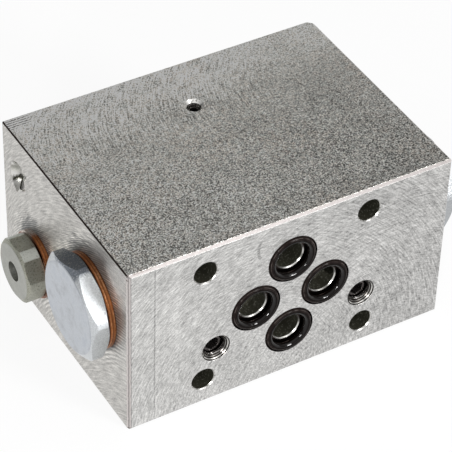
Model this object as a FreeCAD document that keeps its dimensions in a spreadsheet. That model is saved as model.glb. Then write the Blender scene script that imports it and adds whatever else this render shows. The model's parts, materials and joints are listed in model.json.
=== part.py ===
# Hydraulic sandwich valve of the 4-hole, size 6 stacking pattern: a steel block with a double
# pilot-operated check valve in one long bore and a small relief spool in a second bore.
#
# Frame: the origin is the centre of the port pattern on the port face, the face with the O-rings.
# +X runs along that face to the right, +Y into the block (the stacking direction), +Z up.
# A piece that exists at both ends is drawn once, with its own +X pointing out of the block,
# and its left copy is turned half a turn about Z. All lengths are millimetres.
import FreeCAD, Part
import Sketcher
import math
import os
import re

SIZES = {
    # block
    "block_long": (80.0, "length along X"),
    "block_deep": (58.5, "thickness between the two stacking faces, along Y"),
    "block_tall": (44.5, "height along Z"),
    "edge_break": (0.4, "chamfer of an ordinary block edge"),
    "edge_top_front": (0.6, "chamfer of the edge between top and port face"),
    "edge_front_left": (0.85, "chamfer of the upright edge at the port face's left"),
    "edge_top_left": (0.3, "chamfer of the edge between top and left end"),
    "edge_back_right": (1.85, "chamfer of the upright edge at the far right"),
    # stacking pattern
    "bolt_left_x": (21.5, "left mounting holes, distance from the pattern centre"),
    "bolt_left_z": (15.5, "left mounting holes, above and below the centre"),
    "bolt_right_x": (19.0, "right mounting holes, distance from the pattern centre"),
    "bolt_right_z": (16.25, "right mounting holes, above and below the centre"),
    "bolt_hole": (5.5, "mounting hole diameter"),
    "hole_break": (0.25, "chamfer of the hole mouths"),
    "port_left_x": (8.8, "left port, distance from the centre"),
    "port_right_x": (8.7, "right port, distance from the centre"),
    "port_outer_z": (10.4, "top and bottom ports, distance from the centre"),
    "port_hole": (6.6, "port diameter"),
    "port_break": (0.25, "chamfer where a port meets its counterbore"),
    "port_mouth_deep": (5.0, "straight part of a left or right port on the port face"),
    "back_port_deep": (28.5, "straight part of a left or right port on the back face"),
    # O-rings
    "ring_pocket": (12.2, "counterbore diameter"),
    "ring_pocket_deep": (1.4, "counterbore depth"),
    "ring_cord": (1.78, "O-ring section diameter"),
    "ring_gap": (0.04, "clearance between the O-ring and its counterbore's floor"),
    "ring_side_gap": (0.24, "clearance between the O-ring and its counterbore's wall"),
    # main bore with the check valves
    "bore_y": (16.0, "main bore axis behind the port face"),
    "bore_z": (3.5, "main bore axis above the centre"),
    "pilot_bore": (9.0, "bore of the pilot piston"),
    "pilot_half": (8.5, "half length of that bore"),
    "inner_bore": (12.0, "inner chamber diameter"),
    "bush_start": (13.0, "shoulder that the seat bush stands on, from the centre"),
    "outer_bore": (15.0, "outer chamber diameter"),
    "link_bore": (18.4, "ring recess that meets the control drilling"),
    "link_start": (16.0, "inner side of the ring recess, from the centre"),
    "link_wide": (2.7, "width of the ring recess"),
    "thread_core": (16.5, "core hole of the M18 x 1.5 thread"),
    "thread_long": (14.0, "depth of that thread from the block's end"),
    "mouth_break": (0.8, "chamfer at a thread's mouth"),
    # drillings
    "port_drill": (4.0, "slanting drilling from the port face to the outer chamber"),
    "port_drill_start": (7.2, "where its axis meets the port face, from the centre"),
    "port_drill_lean": (45.0, "its slant away from the stacking direction, degrees"),
    "port_drill_reach": (16.5, "its length along the slant"),
    "back_drill": (4.6, "slanting drilling from the back face to the inner chamber"),
    "back_drill_start": (8.0, "where its axis meets the back face, from the centre"),
    "back_drill_lean": (4.6, "its slant away from the stacking direction, degrees"),
    "back_drill_short": (4.6, "how far it stops short of the main bore's axis"),
    "drill_z": (0.4, "height of the slanting drillings above the centre"),
    "drill_point": (118.0, "included angle of a drill point, degrees"),
    # control drillings with their M6 screws
    "control_x": (18.5, "control drillings, distance from the centre"),
    "control_z": (7.5, "control drillings, below the centre"),
    "control_drill": (4.6, "control drilling diameter"),
    "control_left_deep": (44.0, "depth of the left one, past the relief bore"),
    "control_right_deep": (20.0, "depth of the right one"),
    "m6_core": (5.0, "core hole of the M6 thread"),
    "m6_deep": (11.0, "threaded depth"),
    "m6_mouth": (7.0, "countersink diameter at the face"),
    "m6_screw_long": (6.0, "set screw length"),
    "m6_screw_sunk": (1.9, "depth of the screw's end face below the port face"),
    "m6_socket": (3.0, "hexagon socket across flats"),
    "m6_socket_deep": (3.0, "hexagon socket depth"),
    "socket_turn": (8.0, "turn of the sockets, degrees"),
    "screw_gap": (0.03, "radial clearance between a thread's core hole and its screw"),
    "screw_break": (0.4, "chamfer of a set screw"),
    # M4 tappings on the top and on the left end
    "top_tap_y": (43.3, "top tapping, distance behind the port face"),
    "m4_core": (3.3, "core hole of the M4 thread"),
    "top_tap_mouth": (4.6, "countersink diameter of the top tapping"),
    "side_tap_mouth": (4.2, "countersink diameter of the left tapping"),
    "top_tap_wall": (0.15, "wall left between that thread and the top port"),
    "top_drill": (2.5, "drilling from the top thread into the top port"),
    "top_drill_short": (0.25, "how far it stops short of the port's axis"),
    "m4_screw_long": (4.0, "set screw length"),
    "top_screw_spare": (2.9, "free thread below the top screw"),
    "m4_socket": (2.0, "hexagon socket across flats"),
    "m4_socket_deep": (2.0, "hexagon socket depth"),
    "side_tap_y": (49.7, "left tapping, distance behind the port face"),
    "side_tap_z": (10.75, "left tapping, above the centre"),
    "side_tap_tilt": (31.0, "slant of its axis away from the face's normal, degrees"),
    "side_tap_lean": (34.6, "direction of that slant in the left end, from +Y to +Z, degrees"),
    "side_spot": (9.2, "spot face diameter"),
    "side_spot_sink": (0.3, "spot face depth at the hole's axis"),
    "side_tap_deep": (12.0, "threaded depth below the spot face"),
    "side_drill": (2.5, "drilling from the left thread to the left port"),
    "side_drill_reach": (35.0, "its length from the face"),
    "side_screw_sunk": (6.5, "depth of the left screw along its axis"),
    # end plugs, washers, check poppets and springs
    "plug_flats": (22.0, "end plug, hexagon across flats"),
    "plug_round": (24.7, "end plug, diameter across the trimmed corners"),
    "plug_head": (4.5, "end plug, head height"),
    "plug_face": (20.8, "end plug, diameter of the flat end face"),
    "plug_base": (21.5, "end plug, diameter of the round base under the head"),
    "plug_turn": (134.0, "end plug, direction of one flat's normal from +Y to +Z, degrees"),
    "plug_reach": (12.5, "end plug, thread length inside the block"),
    "plug_lead": (0.6, "chamfer of a plug's inner end"),
    "head_slope": (30.0, "slope of the head chamfers, degrees"),
    "washer_thick": (1.5, "copper washer thickness"),
    "plug_washer_out": (22.0, "end plug washer, outer diameter"),
    "plug_washer_in": (18.2, "end plug washer, inner diameter"),
    "poppet_size": (10.0, "check poppet diameter, before clearance"),
    "guide_gap": (0.03, "radial clearance of a sliding piece"),
    "poppet_end": (33.0, "outer end of the check poppet, from the centre"),
    "poppet_bore": (6.6, "hollow of the poppet for its spring"),
    "poppet_bore_start": (22.0, "bottom of that hollow, from the centre"),
    "poppet_nose": (3.2, "diameter of the flat nose"),
    "poppet_lift": (3.0, "opening stroke of a check poppet"),
    "guide_spare": (1.0, "room behind the open poppet"),
    "seat_bore": (7.0, "seat bush bore"),
    "seat_long": (4.0, "seat bush length"),
    "seat_break": (0.5, "chamfer of the seat bush"),
    "press_gap": (0.01, "radial clearance left in the model of a pressed bush"),
    "seat_gap": (0.02, "gap between a closed cone and its seat edge"),
    "spring_well": (1.5, "depth of the spring's locating well in a plug"),
    "check_wire": (0.8, "check spring wire"),
    "check_coil": (5.3, "check spring mean diameter"),
    "check_turns": (5.5, "check spring coils"),
    "spring_gap": (0.05, "clearance at each end of a spring"),
    # pilot piston
    "piston_waist": (6.4, "waist diameter between the two lands"),
    "piston_waist_half": (3.0, "half length of the waist"),
    "piston_land_end": (8.0, "outer end of a land, from the centre"),
    "piston_pin": (4.0, "pin diameter"),
    "piston_stroke": (1.5, "free travel each way before a pin meets its poppet"),
    "piston_break": (0.3, "chamfer of the lands and pins"),
    # relief bore, spool, spring and plug
    "relief_y": (42.0, "relief bore axis behind the port face"),
    "relief_z": (-6.5, "relief bore axis above the centre"),
    "relief_end": (6.0, "inner end of the relief bore, from the centre"),
    "relief_small": (8.0, "small diameter of the relief bore"),
    "relief_step": (16.0, "step between the two diameters, from the centre"),
    "relief_large": (10.0, "large diameter of the relief bore"),
    "relief_core": (10.5, "core hole of the M12 x 1.5 thread"),
    "relief_thread": (28.5, "inner end of that thread, from the centre"),
    "spool_pin": (4.0, "relief spool, pin diameter"),
    "spool_seal_start": (13.5, "relief spool, inner end of the small land"),
    "spool_seal_long": (2.0, "relief spool, length of the small land"),
    "spool_waist": (5.2, "relief spool, waist diameter"),
    "spool_guide_start": (21.5, "relief spool, inner end of the large land"),
    "spool_end": (27.0, "relief spool, outer end"),
    "spool_bore": (6.2, "relief spool, hollow for the spring"),
    "spool_bore_start": (23.5, "bottom of that hollow, from the centre"),
    "spool_lift": (3.0, "opening stroke of the relief spool"),
    "spool_spare": (0.5, "room between the open spool and its plug"),
    "relief_plug_flats": (14.2, "relief plug, across flats"),
    "relief_plug_round": (15.2, "relief plug, diameter across the trimmed corners"),
    "relief_plug_head": (4.8, "relief plug, head height"),
    "relief_plug_face": (13.0, "relief plug, diameter of the flat end face"),
    "relief_plug_base": (13.8, "relief plug, diameter of the round base under the head"),
    "relief_plug_turn": (148.4, "relief plug, direction of one flat's normal, degrees"),
    "relief_plug_eye": (4.8, "relief plug, blind hole in the end face"),
    "relief_plug_eye_deep": (3.0, "relief plug, depth of that hole"),
    "relief_well_end": (36.0, "relief plug, bottom of the spring well, from the centre"),
    "relief_washer_out": (16.0, "relief plug washer, outer diameter"),
    "relief_washer_in": (12.2, "relief plug washer, inner diameter"),
    "relief_wire": (0.9, "relief spring wire"),
    "relief_coil": (4.8, "relief spring mean diameter"),
    "relief_turns": (4.5, "relief spring coils"),
    # shared by the cuts
    "past": (2.0, "how far a cut starts outside the block"),
}

doc = FreeCAD.newDocument("sandwich_valve")
sheet = doc.addObject("Spreadsheet::Sheet", "Sizes")
for row, (alias, (value, note)) in enumerate(SIZES.items(), start=1):
    sheet.set(f"A{row}", alias)
    sheet.set(f"B{row}", str(value))
    sheet.setAlias(f"B{row}", alias)
    sheet.set(f"C{row}", note)
doc.recompute()

SIDES = {"left": 180.0, "right": 0.0}
NODES = {}
VOLUMES = {}


def bound(text):
    """Expression for a property: every alias in text is read from the sheet."""
    return re.sub(r"[A-Za-z_]\w*", lambda m: "Sizes." + m[0] if m[0] in SIZES else m[0], str(text))


def number(text):
    """Value of an expression now, as a plain number."""
    value = sheet.evalExpression(str(text))
    return float(getattr(value, "Value", value))


def origin_plane(body, role):
    return next(item for item in body.Origin.OriginFeatures if item.Role == role)


def new_body(label):
    body = doc.addObject("PartDesign::Body", label)
    body.Label = label
    NODES[label] = body
    return body


def place(item, x="0", y="0", z="0", turn=0.0, about=(0, 0, 1)):
    """Set an object down at bound coordinates, turned by a fixed angle."""
    rotation = FreeCAD.Rotation(FreeCAD.Vector(*about), turn)
    item.Placement = FreeCAD.Placement(FreeCAD.Vector(number(x), number(y), number(z)), rotation)
    for axis, text in (("x", x), ("y", y), ("z", z)):
        item.setExpression(f"Placement.Base.{axis}", bound(text))


def new_sketch(body, name, role, at=("0", "0", "0"), tilt=None):
    """Sketch on an origin plane of its body, moved by at and turned by tilt, an (axis, angle) pair."""
    sketch = body.newObject("Sketcher::SketchObject", name)
    sketch.AttachmentSupport = (origin_plane(body, role), [""])
    sketch.MapMode = "FlatFace"
    axis, angle = tilt or (("0", "0", "1"), "0")
    sketch.setExpression("AttachmentOffset", bound(
        f"placement(vector({at[0]}; {at[1]}; {at[2]});"
        f" rotation(vector({axis[0]}; {axis[1]}; {axis[2]}); {angle}))"))
    return sketch


def pin_point(sketch, geometry, point, x, y):
    """Tie one point of the sketch to bound coordinates."""
    for kind, text, axis in (("DistanceX", x, -2), ("DistanceY", y, -1)):
        if str(text) == "0":
            sketch.addConstraint(Sketcher.Constraint("PointOnObject", geometry, point, axis))
            continue
        index = sketch.addConstraint(
            Sketcher.Constraint(kind, -1, 1, geometry, point, number(text)))
        sketch.setExpression(f"Constraints[{index}]", bound(text))


def add_outline(sketch, points):
    """Closed outline of straight lines through bound points."""
    spots = [FreeCAD.Vector(number(x), number(y), 0) for x, y in points]
    first = sketch.GeometryCount
    for index, spot in enumerate(spots):
        sketch.addGeometry(Part.LineSegment(spot, spots[(index + 1) % len(spots)]), False)
    for index, (x, y) in enumerate(points):
        after = first + (index + 1) % len(points)
        sketch.addConstraint(Sketcher.Constraint("Coincident", first + index, 2, after, 1))
        pin_point(sketch, first + index, 1, x, y)


def add_circle(sketch, x, y, diameter):
    centre = FreeCAD.Vector(number(x), number(y), 0)
    circle = Part.Circle(centre, FreeCAD.Vector(0, 0, 1), number(diameter) / 2)
    index = sketch.addGeometry(circle, False)
    pin_point(sketch, index, 3, x, y)
    size = sketch.addConstraint(Sketcher.Constraint("Diameter", index, number(diameter)))
    sketch.setExpression(f"Constraints[{size}]", bound(diameter))


def hexagon(flats, turn):
    """Corner points of a hexagon with one flat's normal at the angle turn."""
    corner = f"{flats} / sqrt(3)"
    return [(f"{corner} * cos(({turn} + {30 + 60 * step}) * 1deg)",
             f"{corner} * sin(({turn} + {30 + 60 * step}) * 1deg)") for step in range(6)]


def finish(body, feature):
    """Make feature the body's tip and see that it changed the solid."""
    body.Tip = feature
    doc.recompute()
    volume = feature.Shape.Volume
    if abs(volume - VOLUMES.get(body.Name, 0.0)) < 1e-3:
        raise RuntimeError(f"{feature.Label} changes nothing")
    VOLUMES[body.Name] = volume
    return feature


def turn_solid(body, name, points, at=("0", "0", "0")):
    """Revolve an outline about its sketch's X axis."""
    sketch = new_sketch(body, f"{name}_profile", "XY_Plane", at)
    add_outline(sketch, points)
    feature = body.newObject("PartDesign::Revolution", name)
    feature.Profile = sketch
    feature.ReferenceAxis = (sketch, ["H_Axis"])
    feature.Angle = 360
    return finish(body, feature)


def turn_cut(body, name, points, at, tilt=None):
    """Cut a stepped bore whose profile is drawn along the sketch's X axis."""
    sketch = new_sketch(body, f"{name}_profile", "XY_Plane", at, tilt)
    add_outline(sketch, points)
    feature = body.newObject("PartDesign::Groove", name)
    feature.Profile = sketch
    feature.ReferenceAxis = (sketch, ["H_Axis"])
    feature.Angle = 360
    return finish(body, feature)


def pocket(body, name, sketch, depth=None, backwards=False):
    """Cut the sketch straight into the solid, through everything if no depth is given."""
    feature = body.newObject("PartDesign::Pocket", name)
    feature.Profile = sketch
    feature.Reversed = backwards
    if depth is None:
        feature.Type = "ThroughAll"
    else:
        feature.setExpression("Length", bound(depth))
    return finish(body, feature)


def drilled_pocket(body, name, circles, depth=None, from_back=False):
    """Straight round holes from the port face, or from the back face."""
    at = ("0", "0", "-block_deep" if from_back else "0")
    sketch = new_sketch(body, f"{name}_sketch", "XZ_Plane", at)
    for x, z, diameter in circles:
        add_circle(sketch, x, z, diameter)
    return pocket(body, name, sketch, depth, from_back)


def tapped_hole(body, name, role, at, circles, core, depth, mouth):
    """Core holes of a thread, each with a countersink and a drill point."""
    sketch = new_sketch(body, f"{name}_sketch", role, at)
    for x, y in circles:
        add_circle(sketch, x, y, core)
    doc.recompute()
    feature = body.newObject("PartDesign::Hole", name)
    feature.Profile = sketch
    doc.recompute()
    feature.DepthType = "Dimension"
    feature.DrillPoint = "Angled"
    feature.HoleCutType = "Countersink"
    feature.HoleCutCountersinkAngle = 90
    feature.setExpression("Diameter", bound(core))
    feature.setExpression("Depth", bound(depth))
    feature.setExpression("HoleCutDiameter", bound(mouth))
    feature.setExpression("DrillPointAngle", bound("drill_point"))
    return finish(body, feature)


def chamfer(body, name, edges, size):
    base = body.Tip
    feature = body.newObject("PartDesign::Chamfer", name)
    feature.Base = (base, edges)
    feature.setExpression("Size", bound(size))
    return finish(body, feature)


def straight_edges(shape, spots):
    """Names of the straight edges that run through the given lines, (axis, a, b) each."""
    names = []
    for index, edge in enumerate(shape.Edges, start=1):
        if edge.Curve.TypeId != "Part::GeomLine":
            continue
        centre = edge.CenterOfMass
        along = edge.Curve.Direction
        for axis, first, second in spots:
            others = [item for item in "xyz" if item != axis]
            near = abs(getattr(centre, others[0]) - first) + abs(getattr(centre, others[1]) - second)
            if abs(getattr(along, axis)) > 0.999 and near < 1e-4:
                names.append(f"Edge{index}")
    return names


def mouth_edges(shape, y, diameter):
    """Names of the round edges of one diameter that lie in the plane at y."""
    names = []
    for index, edge in enumerate(shape.Edges, start=1):
        if edge.Curve.TypeId != "Part::GeomCircle":
            continue
        flat = abs(edge.CenterOfMass.y - y) < 1e-4 and abs(edge.Curve.Axis.y) > 0.999
        if flat and abs(edge.Curve.Radius * 2 - diameter) < 1e-4:
            names.append(f"Edge{index}")
    return names


def drill_tip(diameter):
    """Depth of a drill's point."""
    return f"{diameter} / 2 / tan(drill_point / 2 * 1deg)"


def break_block_edges(body):
    """Chamfer the block's twelve edges, each with its own measured width."""
    right = number("block_long") / 2
    top = number("block_tall") / 2
    back = number("block_deep")
    steps = [
        ("upright_right_edge", "edge_break", [("z", right, 0.0)]),
        ("upright_back_edge", "edge_break", [("z", -right, back)]),
        ("upright_front_edge", "edge_front_left", [("z", -right, 0.0)]),
        ("upright_far_edge", "edge_back_right", [("z", right, back)]),
        ("long_bottom_edges", "edge_break", [("x", 0.0, -top), ("x", back, -top)]),
        ("long_back_edge", "edge_break", [("x", back, top)]),
        ("long_front_edge", "edge_top_front", [("x", 0.0, top)]),
        ("end_bottom_edges", "edge_break", [("y", -right, -top), ("y", right, -top)]),
        ("end_right_edge", "edge_break", [("y", right, top)]),
        ("end_left_edge", "edge_top_left", [("y", -right, top)]),
    ]
    for name, size, spots in steps:
        chamfer(body, name, straight_edges(body.Tip.Shape, spots), size)


def cut_stacking_pattern(body):
    """Mounting holes, ports and O-ring counterbores, which the next plate in the stack repeats."""
    bolts = [(f"{side}bolt_{name}_x", f"{level}bolt_{name}_z", "bolt_hole")
             for side, name in (("-", "left"), ("", "right")) for level in ("", "-")]
    drilled_pocket(body, "mounting_holes", bolts)
    through = [("0", "port_outer_z", "port_hole"), ("0", "-port_outer_z", "port_hole")]
    drilled_pocket(body, "through_ports", through)
    sides = [("-port_left_x", "0", "port_hole"), ("port_right_x", "0", "port_hole")]
    drilled_pocket(body, "side_port_mouths", sides, "port_mouth_deep")
    drilled_pocket(body, "back_port_mouths", sides, "back_port_deep", from_back=True)
    rings = [(x, z, "ring_pocket") for x, z, _ in through + sides]
    drilled_pocket(body, "ring_counterbores", rings, "ring_pocket_deep")
    back = number("block_deep")
    floor = number("ring_pocket_deep")
    mouths = [
        ("front_bolt", 0.0, "bolt_hole", "hole_break"),
        ("front_port", floor, "port_hole", "port_break"),
        ("back_bolt", back, "bolt_hole", "hole_break"),
        ("back_port", back, "port_hole", "hole_break"),
    ]
    for name, y, diameter, size in mouths:
        chamfer(body, f"{name}_mouths", mouth_edges(body.Tip.Shape, y, number(diameter)), size)


def cut_main_bore(body):
    """The long bore from end to end, symmetrical about the middle."""
    thread_start = "block_long / 2 - thread_long"
    half = [
        ("pilot_half", "pilot_bore / 2"),
        ("pilot_half", "inner_bore / 2"),
        ("bush_start", "inner_bore / 2"),
        ("bush_start", "outer_bore / 2"),
        ("link_start", "outer_bore / 2"),
        ("link_start", "link_bore / 2"),
        ("link_start + link_wide", "link_bore / 2"),
        ("link_start + link_wide", "outer_bore / 2"),
        (thread_start, "outer_bore / 2"),
        (thread_start, "thread_core / 2"),
        ("block_long / 2 - mouth_break", "thread_core / 2"),
        ("block_long / 2 + past", "thread_core / 2 + mouth_break + past"),
    ]
    end = [("block_long / 2 + past", "0")]
    right = half + end
    left = [(f"-({x})", r) for x, r in reversed(right)]
    turn_cut(body, "main_bore", left + right, ("0", "bore_y", "bore_z"))


def cut_relief_bore(body):
    """The stepped bore of the relief spool, open at the left end only."""
    profile = [
        ("relief_end", "0"),
        ("relief_end", "relief_small / 2"),
        ("relief_step", "relief_small / 2"),
        ("relief_step", "relief_large / 2"),
        ("relief_thread", "relief_large / 2"),
        ("relief_thread", "relief_core / 2"),
        ("block_long / 2 - mouth_break", "relief_core / 2"),
        ("block_long / 2 + past", "relief_core / 2 + mouth_break + past"),
        ("block_long / 2 + past", "0"),
    ]
    mirrored = [(f"-({x})", r) for x, r in profile]
    turn_cut(body, "relief_bore", mirrored, ("0", "relief_y", "relief_z"))


def drill(body, name, diameter, reach, at, tilt, start="0"):
    """A slanting drilling with its point, along the tilted sketch's X axis."""
    profile = [
        (start, "0"),
        (start, f"{diameter} / 2"),
        (reach, f"{diameter} / 2"),
        (f"{reach} + {drill_tip(diameter)}", "0"),
    ]
    turn_cut(body, name, profile, at, tilt)


def cut_flow_drillings(body):
    """Slanting drillings: port face to outer chamber, and back face to inner chamber, each side."""
    about_z = ("0", "0", "1")
    back_reach = "((block_deep - bore_y - back_drill_short) / cos(back_drill_lean * 1deg))"
    for name, sign in (("left", "-"), ("right", "")):
        lean = "(90 + port_drill_lean)" if name == "left" else "(90 - port_drill_lean)"
        drill(body, f"port_drill_{name}", "port_drill", "port_drill_reach",
              (f"{sign}port_drill_start", "0", "drill_z"), (about_z, lean))
        lean = "(-90 - back_drill_lean)" if name == "left" else "(-90 + back_drill_lean)"
        drill(body, f"back_drill_{name}", "back_drill", back_reach,
              (f"{sign}back_drill_start", "block_deep", "drill_z"), (about_z, lean))


def cut_control_drillings(body):
    """Two drillings beside the port pattern, tapped M6 at the port face."""
    tapped_hole(body, "control_taps", "XZ_Plane", ("0", "0", "0"),
                [("-control_x", "-control_z"), ("control_x", "-control_z")],
                "m6_core", "m6_deep", "m6_mouth")
    for name, sign in (("left", "-"), ("right", "")):
        circles = [(f"{sign}control_x", "-control_z", "control_drill")]
        drilled_pocket(body, f"control_drill_{name}", circles, f"control_{name}_deep")


def top_tap_deep():
    """Threaded depth on the top, which ends above the top port."""
    return "(block_tall / 2 - port_outer_z - port_hole / 2 - top_tap_wall)"


def cut_top_tap(body):
    """Tapping on the top, drilled on into the top port."""
    at = ("0", "0", "block_tall / 2")
    tapped_hole(body, "top_tap", "XY_Plane", at, [("0", "top_tap_y")],
                "m4_core", top_tap_deep(), "top_tap_mouth")
    sketch = new_sketch(body, "top_drill_sketch", "XY_Plane", at)
    add_circle(sketch, "0", "top_tap_y", "top_drill")
    pocket(body, "top_drilling", sketch, "block_tall / 2 - port_outer_z - top_drill_short")


def side_tap_frame():
    """Mouth and slant of the left tapping, whose own X axis points into the block."""
    at = ("-block_long / 2", "side_tap_y", "side_tap_z")
    axis = ("0", "sin(side_tap_lean * 1deg)", "-cos(side_tap_lean * 1deg)")
    return at, (axis, "side_tap_tilt")


def cut_side_tap(body):
    """Slanting tapping on the left end with its tilted spot face, drilled on to the left port."""
    at, tilt = side_tap_frame()
    deep = "(side_spot_sink + side_tap_deep)"
    profile = [
        ("-side_spot", "0"),
        ("-side_spot", "side_spot / 2"),
        ("side_spot_sink", "side_spot / 2"),
        ("side_spot_sink", "side_tap_mouth / 2"),
        ("side_spot_sink + (side_tap_mouth - m4_core) / 2", "m4_core / 2"),
        (deep, "m4_core / 2"),
        (f"{deep} + (m4_core - side_drill) / 2", "side_drill / 2"),
        ("side_drill_reach", "side_drill / 2"),
        (f"side_drill_reach + {drill_tip('side_drill')}", "0"),
    ]
    turn_cut(body, "side_tap", profile, at, tilt)


def make_block():
    """The block, milled square, then drilled, bored and tapped."""
    body = new_body("valve_body")
    sketch = new_sketch(body, "block_section", "XZ_Plane")
    add_outline(sketch, [(f"{x}block_long / 2", f"{z}block_tall / 2")
                         for x, z in (("-", "-"), ("", "-"), ("", ""), ("-", ""))])
    pad = body.newObject("PartDesign::Pad", "block")
    pad.Profile = sketch
    pad.Reversed = True
    pad.setExpression("Length", bound("block_deep"))
    finish(body, pad)
    break_block_edges(body)
    cut_stacking_pattern(body)
    cut_main_bore(body)
    cut_relief_bore(body)
    cut_flow_drillings(body)
    cut_control_drillings(body)
    cut_top_tap(body)
    cut_side_tap(body)


def make_ring(label, x, z):
    """O-ring lying on its counterbore's floor, a little proud of the port face."""
    ring = doc.addObject("Part::Torus", label)
    ring.Label = label
    ring.setExpression("Radius1", bound("(ring_pocket - ring_cord) / 2 - ring_side_gap"))
    ring.setExpression("Radius2", bound("ring_cord / 2"))
    place(ring, x, "ring_pocket_deep - ring_gap - ring_cord / 2", z, 90.0, (1, 0, 0))
    NODES[label] = ring


def make_washer(label, side, y, z, outer, inner):
    """Flat copper washer between the block's end and a plug's head."""
    body = new_body(label)
    start = "block_long / 2"
    turn_solid(body, f"{label}_ring", [
        (start, f"{inner} / 2"),
        (start, f"{outer} / 2"),
        (f"{start} + washer_thick", f"{outer} / 2"),
        (f"{start} + washer_thick", f"{inner} / 2"),
    ])
    place(body, "0", y, z, SIDES[side])


def plug_head_profile(base, across, face, height):
    """Outer line of a plug's head, from its base to its end face."""
    start = "block_long / 2 + washer_thick"
    slope = "tan(head_slope * 1deg)"
    return [
        (start, f"{base} / 2"),
        (f"{start} + ({across} - {base}) / 2 * {slope}", f"{across} / 2"),
        (f"{start} + {height} - ({across} - {face}) / 2 * {slope}", f"{across} / 2"),
        (f"{start} + {height}", f"{face} / 2"),
    ]


def mill_flats(body, name, flats, turn, across, height):
    """Mill the six flats of a turned head."""
    sketch = new_sketch(body, f"{name}_sketch", "YZ_Plane",
                        ("0", "0", f"block_long / 2 + washer_thick + {height}"))
    add_circle(sketch, "0", "0", f"{across} + 2 * past")
    add_outline(sketch, hexagon(flats, turn))
    pocket(body, name, sketch, height)


def make_end_plug(side):
    """Screw plug that closes the main bore and guides the check poppet in its hollow."""
    label = f"end_plug_{side}"
    body = new_body(label)
    inner = "(block_long / 2 - plug_reach)"
    shank = "(thread_core / 2 - screw_gap)"
    guide = "(poppet_size / 2)"
    guide_end = "(poppet_end + poppet_lift + guide_spare)"
    turn_solid(body, f"{label}_blank", [
        (inner, guide),
        (inner, f"{shank} - plug_lead"),
        (f"{inner} + plug_lead", shank),
        ("block_long / 2 + washer_thick", shank),
        *plug_head_profile("plug_base", "plug_round", "plug_face", "plug_head"),
        ("block_long / 2 + washer_thick + plug_head", "0"),
        (f"{guide_end} + spring_well", "0"),
        (f"{guide_end} + spring_well", "poppet_bore / 2"),
        (guide_end, "poppet_bore / 2"),
        (guide_end, guide),
    ])
    turn = "plug_turn" if side == "right" else "(180 - plug_turn)"
    mill_flats(body, f"{label}_flats", "plug_flats", turn, "plug_round", "plug_head")
    place(body, "0", "bore_y", "bore_z", SIDES[side])


def make_seat_bush(side):
    """Hardened bush pressed against the bore's shoulder: its outer edge is the valve seat."""
    label = f"seat_bush_{side}"
    body = new_body(label)
    outer = "(outer_bore / 2 - press_gap)"
    end = "(bush_start + seat_long)"
    turn_solid(body, f"{label}_ring", [
        ("bush_start", "seat_bore / 2 + seat_break"),
        ("bush_start", f"{outer} - seat_break"),
        ("bush_start + seat_break", outer),
        (end, outer),
        (end, "seat_bore / 2"),
        ("bush_start + seat_break", "seat_bore / 2"),
    ])
    place(body, "0", "bore_y", "bore_z", SIDES[side])


def make_check_poppet(side):
    """Hollow cone poppet, closed on its seat."""
    label = f"check_poppet_{side}"
    body = new_body(label)
    seat = "(bush_start + seat_long + seat_gap)"
    skirt = "(poppet_size / 2 - guide_gap)"
    turn_solid(body, f"{label}_body", [
        (f"{seat} - (seat_bore - poppet_nose) / 2", "0"),
        (f"{seat} - (seat_bore - poppet_nose) / 2", "poppet_nose / 2"),
        (f"{seat} + {skirt} - seat_bore / 2", skirt),
        ("poppet_end", skirt),
        ("poppet_end", "poppet_bore / 2"),
        ("poppet_bore_start", "poppet_bore / 2"),
        ("poppet_bore_start", "0"),
    ])
    place(body, "0", "bore_y", "bore_z", SIDES[side])


def make_spring(label, side, y, z, start, end, wire, coil, turns):
    """Compression spring along X between two bound ends, its wire drawn with eight sides."""
    helix = doc.addObject("Part::Helix", f"{label}_path")
    helix.setExpression("Radius", bound(f"{coil} / 2"))
    helix.setExpression("Height", bound(f"{end} - {start} - {wire} - 2 * spring_gap"))
    helix.setExpression("Pitch", bound(f"({end} - {start} - {wire} - 2 * spring_gap) / {turns}"))
    section = doc.addObject("Part::RegularPolygon", f"{label}_wire")
    section.Polygon = 8
    section.setExpression("Circumradius", bound(f"{wire} / 2"))
    place(section, f"{coil} / 2", "0", "0", 90.0, (1, 0, 0))
    doc.recompute()
    spring = doc.addObject("Part::Sweep", label)
    spring.Label = label
    spring.Sections = [section]
    spring.Spine = (helix, [])
    spring.Solid = True
    spring.Frenet = True
    sign = "-" if side == "left" else ""
    facing = -90.0 if side == "left" else 90.0
    place(spring, f"{sign}({start} + {wire} / 2 + spring_gap)", y, z, facing, (0, 1, 0))
    NODES[label] = spring


def make_check_spring(side):
    """Spring between the poppet's hollow and the end plug's well."""
    end = "(poppet_end + poppet_lift + guide_spare + spring_well)"
    make_spring(f"check_spring_{side}", side, "bore_y", "bore_z", "poppet_bore_start", end,
                "check_wire", "check_coil", "check_turns")


def make_pilot_piston():
    """Double-land piston between the two check valves, with a pin for each poppet."""
    body = new_body("pilot_piston")
    land = "(pilot_bore / 2 - guide_gap)"
    pin_end = ("(bush_start + seat_long + seat_gap - (seat_bore - poppet_nose) / 2"
               " - piston_stroke - seat_gap)")
    half = [
        ("piston_waist_half", "piston_waist / 2"),
        ("piston_waist_half", land),
        ("piston_land_end - piston_break", land),
        ("piston_land_end", f"{land} - piston_break"),
        ("piston_land_end", "piston_pin / 2"),
        (f"{pin_end} - piston_break", "piston_pin / 2"),
        (pin_end, "piston_pin / 2 - piston_break"),
        (pin_end, "0"),
    ]
    left = [(f"-({x})", r) for x, r in reversed(half)]
    turn_solid(body, "piston", left + half)
    place(body, "0", "bore_y", "bore_z")


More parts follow.
